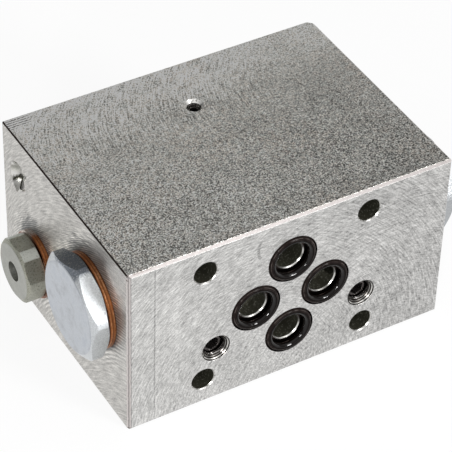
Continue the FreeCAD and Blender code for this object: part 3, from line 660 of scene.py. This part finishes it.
        plain_arcs = graph.arcs(graph.x + graph.z, graph.y - 29.0, radius=40.0, side=1.0, pitch=0.4,
                                length=2.6)
        colour = graph.tint(self.plain, 1.0 + plain_arcs * 0.16 + grain * 0.2 + cloud * 0.06)
        tone, sand = self.top_tone(graph, cloud)
        stain = graph.noise(0.055, 2.0, 0.6)
        top = graph.mix(stain.ramp(-0.4, 0.7), self.top, self.top_warm)
        top = graph.mix(graph.noise(1.1, 2.0, 0.8).ramp(-0.5, 0.5), top, self.top_cool)
        colour = graph.mix(on[Face.TOP], colour, graph.tint(top, tone))
        tone, circles = self.port_tone(graph, grain, cloud)
        colour = graph.mix(on[Face.PORT], colour, graph.tint(self.port, tone))
        # film is 1 where the oil and the plugs' painted shade lie on the left end.
        tone, marks, film = self.left_tone(graph, graph.noise(2.8, 1.0), cloud)
        left = graph.mix(film * 0.45, graph.tint(self.left, tone), self.oil)
        colour = graph.mix(on[Face.LEFT], colour, left)

        edges = self.outer_edges(graph)
        walls, bare = self.inside(graph, speck)
        broken = graph.mix(edges, walls, graph.tint(self.edge, 1.3 + speck * 0.12))
        front = graph.y.fall(0.9, 1.1)
        upright = front * graph.x.fall(0.9 - HALF_LONG, 1.05 - HALF_LONG)
        broken = graph.mix(upright, broken, self.upright_edge(graph, speck))
        along_top = front * graph.z.ramp(HALF_TALL - 0.8, HALF_TALL - 0.65)
        broken = graph.mix(along_top, broken, self.front_edge(graph, speck))
        colour = graph.mix(outer, broken, colour)

        # Painted shade: a dark line along the top left edge, and a painted contact shadow along the
        # bottom front edge.
        left_top = ((graph.x + speck * 0.06).fall(0.26 - HALF_LONG, 0.34 - HALF_LONG)
                    * graph.z.ramp(HALF_TALL - 0.31, HALF_TALL - 0.28))
        under = front * graph.z.ramp(0.42 - HALF_TALL, 0.36 - HALF_TALL)
        colour = graph.mix(left_top.at_least(under * 0.8), colour, self.chip_and_shade)

        faces = graph.blend(on[Face.TOP], self.face_roughness, self.top_roughness)
        height = (grain * 0.35 + sand * on[Face.TOP] * 0.5 + circles * on[Face.PORT] * 0.5
                  + marks * on[Face.LEFT] * 1.2)
        oily = bare * outer.fall(0.0, 0.5) * edges.fall(0.0, 0.5)
        # The oil and the plugs' painted shade on the left end are less metallic.
        metal = graph.blend(oily, 1.0, 0.35) - film * on[Face.LEFT] * 0.65
        return graph.finish(Base_Color=colour, Metallic=metal,
                            Roughness=graph.blend(outer, self.bore_roughness, faces),
                            Normal=graph.bump(height * outer, self.relief))


@dataclass(frozen=True)
class PlatedSteel:
    """Zinc plated steel of the end plugs: bluish and blotched, with sandy flats.

    The flats lie outside the end face's radius. The upper one, which ends at the corner's
    direction, is worn down to its sandy ground.
    """

    name: str = "zinc_plate_plugs"
    colour: Triple = (0.5, 0.525, 0.56)
    dull: Triple = (0.375, 0.4, 0.44)
    flats: Triple = (0.6, 0.62, 0.635)
    sand: Triple = (0.1, 0.12, 0.152)
    centre: Pair = MAIN_BORE
    face_radius: float = 10.55
    corner: float = math.radians(104.0)
    shaded: float = 0.66
    roughness: float = 0.34

    def build(self) -> Material:
        """Make the material, darker on the right plug.

        Returns:
            The material of both end plugs.
        """
        graph = Graph(self.name)
        aside, up, reach = graph.off_axis(self.centre)
        cloud = graph.noise(0.3, 3.0, 0.7)
        speck = graph.noise(3.0, 2.0, 0.7)
        side = reach.ramp(self.face_radius, self.face_radius + 0.15)
        tone = 1.0 + cloud * 0.24 + speck * 0.12
        colour = graph.tint(graph.mix(cloud.ramp(0.0, 0.9), self.colour, self.dull), tone)
        sandy = 1.0 + cloud * 0.1 + speck * 0.22
        colour = graph.mix(side, colour, graph.tint(self.flats, sandy))
        worn = (speck + up.ramp(8.0, 10.6, 0.0, 1.1)).ramp(0.35, 0.95)
        past = up * math.cos(self.corner) - aside * math.sin(self.corner) + speck * 0.5
        upward = side * worn * up.ramp(6.0, 8.0) * past.ramp(0.3, 1.7, 0.85, 0.0)
        colour = graph.mix(upward, colour, graph.tint(self.sand, 1.0 + speck * 0.6))
        colour = graph.tint(colour, graph.x.ramp(-1.0, 1.0, 1.0, self.shaded))
        return graph.finish(Base_Color=colour, Metallic=1.0, Roughness=self.roughness + speck * 0.05,
                            Normal=graph.bump(speck, 0.012))


@dataclass(frozen=True)
class RawSteel:
    """Unplated steel of the small plug: a greenish grey, sandier on the flats.

    The flats lie outside the end face's radius. Beyond them the turned land has a painted
    highlight on the side away from the middle direction.
    """

    name: str = "raw_steel_plug"
    colour: Triple = (0.4, 0.403, 0.372)
    olive: Triple = (0.385, 0.385, 0.318)
    sand: Triple = (0.08, 0.082, 0.064)
    land: Triple = (0.72, 0.74, 0.69)
    centre: Pair = RELIEF_BORE
    face_radius: float = 6.55
    land_radius: float = 7.52
    middle: float = math.radians(148.4)
    roughness: float = 0.46

    def build(self) -> Material:
        """Make the material.

        Returns:
            The material of the small plug.
        """
        graph = Graph(self.name)
        aside, up, reach = graph.off_axis(self.centre)
        cloud = graph.noise(0.35, 3.0, 0.6)
        speck = graph.noise(2.8, 2.0, 0.7)
        side = reach.ramp(self.face_radius, self.face_radius + 0.15)
        tone = 1.0 + cloud * 0.1 + speck * 0.16
        colour = graph.tint(graph.mix(side * 0.8, self.colour, self.olive), tone)
        colour = graph.mix(side * speck.ramp(-0.1, 0.6, 0.0, 0.62), colour, self.sand)
        low = up * math.cos(self.middle) - aside * math.sin(self.middle)
        # Painted highlight on one side of the turned land.
        turned = reach.ramp(self.land_radius, self.land_radius + 0.05) * low.ramp(-0.1, 0.1, 1.0, 0.2)
        colour = graph.mix(turned * speck.ramp(0.2, 0.8, 0.9, 0.4), colour, self.land)
        return graph.finish(Base_Color=colour, Metallic=1.0, Roughness=self.roughness + speck * 0.06,
                            Normal=graph.bump(speck, 0.012))


@dataclass(frozen=True)
class TurnedSteel:
    """Bright turned or ground steel, with fine rings about an axis that runs along X."""

    name: str
    colour: Triple
    roughness: float = 0.38
    centre: Pair = MAIN_BORE
    ring: float = 3.0
    depth: float = 0.1

    def build(self) -> Material:
        """Make the material, whose rings follow the distance from the axis.

        Returns:
            The material.
        """
        graph = Graph(self.name)
        reach = graph.off_axis(self.centre)[2]
        rings = graph.noise(1.0, 1.0, at=graph.join(reach * self.ring, graph.x * self.ring, 0.0))
        speck = graph.noise(2.8, 2.0, 0.6)
        tone = 1.0 + rings * self.depth + speck * 0.08 + graph.noise(0.25, 3.0, 0.6) * 0.08
        return graph.finish(Base_Color=graph.tint(self.colour, tone), Metallic=1.0,
                            Roughness=self.roughness + speck * 0.05,
                            Normal=graph.bump(rings + speck, 0.008))


@dataclass(frozen=True)
class SoftCopper:
    """Soft copper of the washers, rolled edges a little darker with painted shade, and streaked."""

    name: str = "soft_copper"
    colour: Triple = (0.45, 0.165, 0.06)
    streak: Triple = (0.82, 0.42, 0.21)
    copper_shade: Triple = (0.12, 0.04, 0.02)
    copper_highlight: Triple = (0.7, 0.64, 0.59)
    roughness: float = 0.36
    thick: float = 1.5

    def build(self) -> Material:
        """Make the material, with streaks, a dark seam of painted shade round the rim, painted shade on
        the rolled edges and a painted highlight on the small washer.

        Returns:
            The material of all three washers.
        """
        graph = Graph(self.name)
        y, z = graph.y, graph.z
        depth = abs(graph.x) - HALF_LONG
        middle = depth.band(0.35, self.thick - 0.35, 0.25)
        around = graph.noise(1.0, 3.0, 0.6, at=graph.join(depth * 3.2, y * 0.22, z * 0.22))
        speck = graph.noise(2.4, 2.0, 0.6)
        colour = graph.mix((around + speck * 0.3).ramp(0.0, 0.8), self.colour, self.streak)
        # Painted shade: darker at both rolled edges, where the washer meets the block and the plug, and
        # along a seam round the middle of the rim.
        colour = graph.mix(middle, graph.mix(0.75, colour, self.copper_shade), colour)
        colour = graph.mix(depth.band(0.7, 0.8, 0.1) * 0.6, colour, self.copper_shade)
        # Painted highlight: a pale patch on the top of the small washer.
        highlighted = y.ramp(41.5, 44.0) * z.ramp(-2.0, 0.2) * speck.ramp(-0.5, 0.4, 0.5, 1.0)
        colour = graph.mix(highlighted, colour, self.copper_highlight)
        return graph.finish(Base_Color=graph.tint(colour, 1.0 + speck * 0.16), Metallic=1.0,
                            Roughness=self.roughness, Normal=graph.bump(around + speck, 0.02))


@dataclass(frozen=True)
class WetRubber:
    """Black seal rubber under a film of oil, browner where its rim meets the steel, with painted
    highlight lines there.
    """

    name: str = "wet_black_rubber"
    colour: Triple = (0.003, 0.002, 0.0017)
    rim: Triple = (0.018, 0.013, 0.012)
    rim_highlight: Triple = (0.15, 0.128, 0.118)
    roughness: float = 0.07
    holes: HolePattern = HolePattern()

    def build(self) -> Material:
        """Make the material: a dark body with a smooth, slightly uneven film.

        Returns:
            The material of all four O-rings.
        """
        graph = Graph(self.name)
        film = graph.noise(0.55)
        pore = graph.noise(3.0, 2.0, 0.6)
        reach = self.holes.reach(graph, self.holes.ports)
        outer = reach.ramp(4.9, 5.7)
        # Painted highlights: faint lighter lines round the rim.
        lines = reach.wave(0.34).ramp(0.2, 0.9) * outer * film.ramp(-0.4, 0.4)
        colour = graph.mix(outer * 0.6, self.colour, self.rim)
        colour = graph.mix(lines * 0.42, colour, self.rim_highlight)
        return graph.finish(Base_Color=graph.tint(colour, 1.0 + pore * 0.25),
                            Roughness=self.roughness + film * 0.04,
                            Specular_IOR_Level=reach.ramp(4.45, 4.95, 0.3, 0.03),
                            Normal=graph.bump(film + pore * 0.04, 0.035))


@dataclass(frozen=True)
class OiledBlack:
    """Blackened steel screw, wet with oil."""

    name: str = "oiled_black_steel"
    colour: Triple = (0.06, 0.052, 0.05)
    roughness: float = 0.24

    def build(self) -> Material:
        """Make the material.

        Returns:
            The material of all set screws.
        """
        graph = Graph(self.name)
        speck = graph.noise(2.2, 3.0, 0.6)
        return graph.finish(Base_Color=graph.tint(self.colour, 1.0 + speck * 0.35), Metallic=0.85,
                            Roughness=self.roughness + speck * 0.08, Coat_Weight=0.3,
                            Coat_Roughness=0.08, Normal=graph.bump(speck, 0.03))


def in_scene(name: str, data: bpy.types.ID) -> bpy.types.Object:
    """New object of that name in the scene, which holds the data."""
    bpy.context.scene.collection.objects.link(made := bpy.data.objects.new(name, data))
    return made


def spokes(angle: np.ndarray, right: np.ndarray, up: np.ndarray) -> np.ndarray:
    """Vector right * cos + up * sin at each angle."""
    return np.cos(angle)[..., None] * right + np.sin(angle)[..., None] * up


def grid_mesh(name: str, points: np.ndarray, material: Material,
              sharp: float = 35.0) -> bpy.types.Object:
    """Solid from a grid of closed profiles, with both ends capped.

    Row i holds the profile's points at step i of the path. Quads join each row to the next
    and wrap round within a row, and each end row becomes one many-sided face.

    Args:
        name: Object and mesh name.
        points: Array of shape (steps, profile points, 3), in metres.
        material: The piece's finish.
        sharp: Angle in degrees above which an edge stays sharp.

    Returns:
        The object, already in the scene.
    """
    steps, around, _ = points.shape
    index = np.arange(steps * around).reshape(steps, around)
    a, b = index[:-1], index[1:]
    quads = np.stack((a, np.roll(a, -1, 1), np.roll(b, -1, 1), b), axis=-1).reshape(-1, 4)
    faces = quads.tolist() + [index[0][::-1].tolist(), index[-1].tolist()]
    mesh = bpy.data.meshes.new(name)
    mesh.from_pydata(points.reshape(-1, 3).tolist(), [], faces)
    mesh.materials.append(material)
    mesh.polygons.foreach_set("use_smooth", np.ones(len(mesh.polygons), bool))
    mesh.set_sharp_from_angle(angle=math.radians(sharp))
    mesh.validate()
    return in_scene(name, mesh)


@dataclass
class ThreadTurns:
    """Visible turns of an internal thread in a tapped hole, above its set screw.

    Attributes:
        name: Piece name.
        mouth: Where the axis meets the face, in millimetres.
        inward: Unit vector of the axis, into the block.
        core: Core hole diameter.
        pitch: Thread pitch.
        start: Depth where the turns begin.
        end: Depth where they end.
        crest: How far the turns stand in from the wall.
        steps: Steps in a turn.
        sink: How far the ridge's foot goes into the wall.
    """

    name: str
    mouth: Triple
    inward: Triple
    core: float
    pitch: float
    start: float
    end: float
    crest: float
    steps: int = 48
    sink: float = 0.03

    def build(self, material: Material) -> bpy.types.Object:
        """Sweep a ridge profile along a helix.

        At turn t the ridge's middle lies at depth start + pitch * t and angle 2 pi t. Its
        profile is a trapezium between the wall and the crest, and its height fades to zero
        over the first and last third of a turn.

        Args:
            material: The turns' finish.

        Returns:
            The turns as one piece.
        """
        turns = (self.end - self.start) / self.pitch
        t = np.linspace(0.0, turns, int(self.steps * turns) + 1)
        fade = np.clip(np.minimum(t, turns - t) * 3.0, 0.02, 1.0)
        half, land = self.pitch * 0.44, self.pitch * 0.08
        depth = np.array([-half, -land, land, half])
        height = np.array([-self.sink, self.crest, self.crest, -self.sink])
        radius = self.core / 2 - height[None, :] * np.where(height > 0, fade[:, None], 1.0)
        along = self.start + self.pitch * t[:, None] + depth[None, :]
        axis = np.array(self.inward)
        side = np.cross(axis, (0.0, 0.31, 0.95))
        side /= np.linalg.norm(side)
        up = np.cross(axis, side)
        spoke = spokes(2.0 * np.pi * t, side, up)
        points = (np.array(self.mouth) + along[..., None] * axis
                  + radius[..., None] * spoke[:, None, :]) * MM
        return grid_mesh(self.name, points, material)


def dress(nodes: list[str], material: Material) -> None:
    """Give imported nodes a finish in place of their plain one.

    Args:
        nodes: The nodes' names.
        material: The finish.
    """
    for name in nodes:
        mesh = frame["nodes"][name].data
        mesh.materials.clear()
        mesh.materials.append(material)
        LOG.info("dressed %s with %s", name, material.name)


@dataclass
class Block:
    """The block with its visible thread turns."""

    finish: MilledSteel = field(default_factory=MilledSteel)
    thread: TurnedSteel = TurnedSteel("cut_thread_steel", grey(0.55, 0.03), 0.24, (43.3, 22.0), 1.2)

    def turns(self) -> Iterator[ThreadTurns]:
        """The turns of each tapped hole that shows.

        Yields:
            M4 turns in the top and side tappings, and M6 turns in the two control holes.
        """
        holes = self.finish.holes
        yield ThreadTurns("top_thread", (0.0, holes.top_y, HALF_TALL), (0.0, 0.0, -1.0), core=3.3,
                          pitch=0.7, start=0.8, end=1.42, crest=0.16)
        yield ThreadTurns("side_thread", holes.side_mouth, holes.side_axis, core=3.3, pitch=0.7,
                          start=0.9, end=6.0, crest=0.2)
        for side, (x, z) in zip(("left", "right"), holes.controls):
            yield ThreadTurns(f"control_thread_{side}", (x, 0.0, z), (0.0, 1.0, 0.0), core=5.0,
                              pitch=1.0, start=1.2, end=1.75, crest=0.3)

    def build(self) -> None:
        """Dress the block and add its threads."""
        dress(["valve_body"], self.finish.build())
        made = self.thread.build()
        for item in self.turns():
            piece = item.build(made)
            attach(piece, "block")
            LOG.info("thread turns %s, %d faces", piece.name, len(piece.data.polygons))


@dataclass
class Fittings:
    """Plugs, washers, seals and screws that close the block."""

    plate: PlatedSteel = field(default_factory=PlatedSteel)
    raw: RawSteel = field(default_factory=RawSteel)
    copper: SoftCopper = field(default_factory=SoftCopper)
    rubber: WetRubber = field(default_factory=WetRubber)
    screw: OiledBlack = field(default_factory=OiledBlack)

    def build(self) -> None:
        """Dress every closing piece."""
        dress(["end_plug_left", "end_plug_right"], self.plate.build())
        dress(["relief_plug"], self.raw.build())
        dress(["plug_washer_left", "plug_washer_right", "relief_washer"], self.copper.build())
        dress([f"port_oring_{place}" for place in ("top", "bottom", "left", "right")],
              self.rubber.build())
        dress(["control_screw_left", "control_screw_right", "top_screw", "side_screw"],
              self.screw.build())


@dataclass(frozen=True)
class Spring:
    """Compression spring of round wire that stands in its node's place.

    Attributes:
        node: The node that it stands for.
        wire: Wire diameter in metres.
        turns: Number of coils.
        steps: Steps in a coil.
        sides: Sides of the wire.
    """

    node: str
    wire: float
    turns: float
    steps: int = 40
    sides: int = 16

    def coil(self, material: Material) -> bpy.types.Object:
        """Sweep the wire's circle along a helix between the ends of the node's box.

        With a = 2 pi * turns * s for s from 0 to 1, the wire's middle is at
        start + (s * rise, r cos a, r sin a), and the path's tangent is
        (rise, -r a' sin a, r a' cos a) with a' = 2 pi * turns. The circle stands square to
        the path: one of its axes is the spoke, the other is across spoke and tangent.

        Args:
            material: The wire's finish.

        Returns:
            The spring at its full length.
        """
        low, high = (np.array(corner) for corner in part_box(self.node))
        ahead, right, up = np.eye(3)
        radius = (high[1] - low[1] - self.wire) / 2
        rise, angle = high[0] - low[0] - self.wire, 2.0 * np.pi * self.turns
        start = (low + high) / 2 - ahead * rise / 2
        share = np.linspace(0.0, 1.0, int(self.steps * self.turns) + 1)
        spoke = spokes(angle * share, right, up)
        middle = start + share[:, None] * rise * ahead + radius * spoke
        path = rise * ahead + radius * angle * np.cross(ahead, spoke)
        path /= np.linalg.norm(path, axis=-1, keepdims=True)
        round_wire = np.linspace(0.0, 2.0 * np.pi, self.sides, endpoint=False)
        ring = spokes(round_wire, spoke[:, None, :], np.cross(path, spoke)[:, None, :])
        return grid_mesh(f"{self.node}_wire", middle[:, None, :] + ring * self.wire / 2, material)

    def build(self, material: Material) -> None:
        """Put the spring in its node's place, hide the node, and look up the joint that presses it.

        Args:
            material: The wire's finish.
        """
        joint, pressed = next((joint, pressed) for joint in frame["record"]["behaviour"]["joints"]
                              for pressed in joint.get("deforming_nodes", [])
                              if pressed["node"] == self.node)
        piece = self.coil(material)
        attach(piece, "block")
        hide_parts(self.node)
        low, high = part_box(self.node)
        fixed = pressed["fixed_end_x_m"]
        length = max(abs(low[0] - fixed), abs(high[0] - fixed))
        (length - joint["range_m"][1]) / length
        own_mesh(piece)
        LOG.info("spring %s shortens with %s", piece.name, joint["name"])


@dataclass
class Internals:
    """Moving pieces, seats and springs inside the block."""

    ground: TurnedSteel = TurnedSteel("ground_steel", grey(0.62, 0.01), 0.22)
    wire: TurnedSteel = TurnedSteel("spring_wire", grey(0.33, 0.02), 0.3, ring=1.0)
    springs: tuple[Spring, ...] = (Spring("check_spring_left", 0.8 * MM, 5.5),
                                   Spring("check_spring_right", 0.8 * MM, 5.5),
                                   Spring("relief_spring", 0.9 * MM, 4.5))

    def build(self) -> None:
        """Dress the pieces that show only in a cut, and wind the springs."""
        dress(["pilot_piston", "relief_spool", "seat_bush_left", "seat_bush_right",
               "check_poppet_left", "check_poppet_right"], self.ground.build())
        made = self.wire.build()
        for spring in self.springs:
            spring.build(made)


@dataclass
class Studio:
    """Camera, lights, world and floor, in metres.

    The camera stands where the photograph's did: its place and its directions come from the
    stacking pattern, and its lens gives the photograph's narrow field.
    """

    eye: Triple = (-0.2067, -0.31115, 0.34221)
    forward: Triple = (0.39353, 0.64555, -0.65452)
    right: Triple = (0.86461, -0.50183, 0.02488)
    lens: float = 186.29
    sensor: float = 36.0
    target: Triple = (0.0, 0.02, 0.0)
    lamp_distance: float = 0.9
    floor_level: float = -HALF_TALL * MM
    floor_half: float = 3.0
    floor_paint: Triple = (0.9, 0.9, 0.9)
    white_share: float = 0.9
    ceiling: float = 0.44
    wall: float = 0.14
    front_dim: float = 0.45

    def camera(self) -> None:
        """Place the camera."""
        data = bpy.data.cameras.new("camera")
        data.lens, data.sensor_width, data.sensor_fit = self.lens, self.sensor, "HORIZONTAL"
        data.clip_start, data.clip_end = 0.01, 20.0
        camera = in_scene("camera", data)
        ahead = Vector(self.forward).normalized()
        right = Vector(self.right)
        right = (right - ahead * right.dot(ahead)).normalized()
        up = right.cross(ahead)
        turn = Matrix((right, up, -ahead)).transposed().to_4x4()
        camera.matrix_world = Matrix.Translation(self.eye) @ turn
        bpy.context.scene.camera = camera

    def lamp(self, name: str, towards: Triple, size: float, watts: float) -> None:
        """Square area lamp that faces the target.

        Args:
            name: Lamp name.
            towards: Direction from the target to the lamp.
            size: Side of the lamp.
            watts: Power.
        """
        data = bpy.data.lights.new(name, "AREA")
        data.shape, data.size, data.energy = "SQUARE", size, watts
        lamp = in_scene(name, data)
        direction = Vector(towards).normalized()
        place = Vector(self.target) + direction * self.lamp_distance
        turn = direction.to_track_quat("Z", "Y").to_matrix().to_4x4()
        lamp.matrix_world = Matrix.Translation(place) @ turn

    def world(self) -> None:
        """White for camera rays, and for mirrored rays near the horizon.

        For the rest it is white in front above a dimmer band, and behind it is a dark wall
        under a grey ceiling.
        """
        world = bpy.data.worlds.new("studio")
        bpy.context.scene.world = world
        tree = Tree(world)
        _, ahead, height = tree.split(tree.make("TexCoord", output="Generated"))
        behind = height.ramp(0.3, 0.5, self.wall, self.ceiling)
        before = height.ramp(0.38, 0.58, self.front_dim)
        mirrored = tree.math("ADD", tree.ray("Glossy"), tree.ray("Transmission"), clamp=True)
        white = tree.math("MULTIPLY_ADD", mirrored, height.fall(0.0, 0.1), tree.ray("Camera"),
                          clamp=True)
        strength = tree.blend(white, ahead.ramp(0.75, -0.35, behind, before), 1.0)
        tree.node("OutputWorld", {"Surface": tree.make("Background", {"Strength": strength})})

    def floor(self) -> None:
        """Plain white floor that keeps a light shadow."""
        half = self.floor_half
        mesh = bpy.data.meshes.new("floor")
        corners = [(-half, -half), (half, -half), (half, half), (-half, half)]
        mesh.from_pydata([(x, y, self.floor_level) for x, y in corners], [], [(0, 1, 2, 3)])
        floor = in_scene("floor", mesh)
        material = bpy.data.materials.new("white_floor")
        tree = Tree(material)
        seen = tree.math("ADD", tree.ray("Camera"), tree.ray("Glossy"), clamp=True)
        through = tree.math("ADD", seen, tree.ray("Transmission"), clamp=True)
        diffuse = tree.make("BsdfDiffuse", {"Color": self.floor_paint})
        mixed = tree.make("MixShader", {0: through * self.white_share, 1: diffuse,
                                        2: tree.make("Emission")})
        tree.node("OutputMaterial", {"Surface": mixed})
        mesh.materials.append(material)

    def build(self) -> None:
        """Set up the whole studio."""
        self.camera()
        self.world()
        self.floor()
        self.lamp("key", (0.39, -0.86, 0.32), 0.22, 7.0)
        self.lamp("side", (-0.59, -0.74, 0.33), 0.1, 3.5)
        self.lamp("upper", (0.39, -0.62, 0.68), 0.3, 0.7)
        bpy.context.scene.view_settings.view_transform = "Standard"


def main() -> None:
    """Build the studio and dress every piece."""
    logging.basicConfig(level=logging.INFO, format="%(name)s: %(message)s")
    Studio().build()
    Block().build()
    Fittings().build()
    Internals().build()


if __name__ == "__main__":
    main()
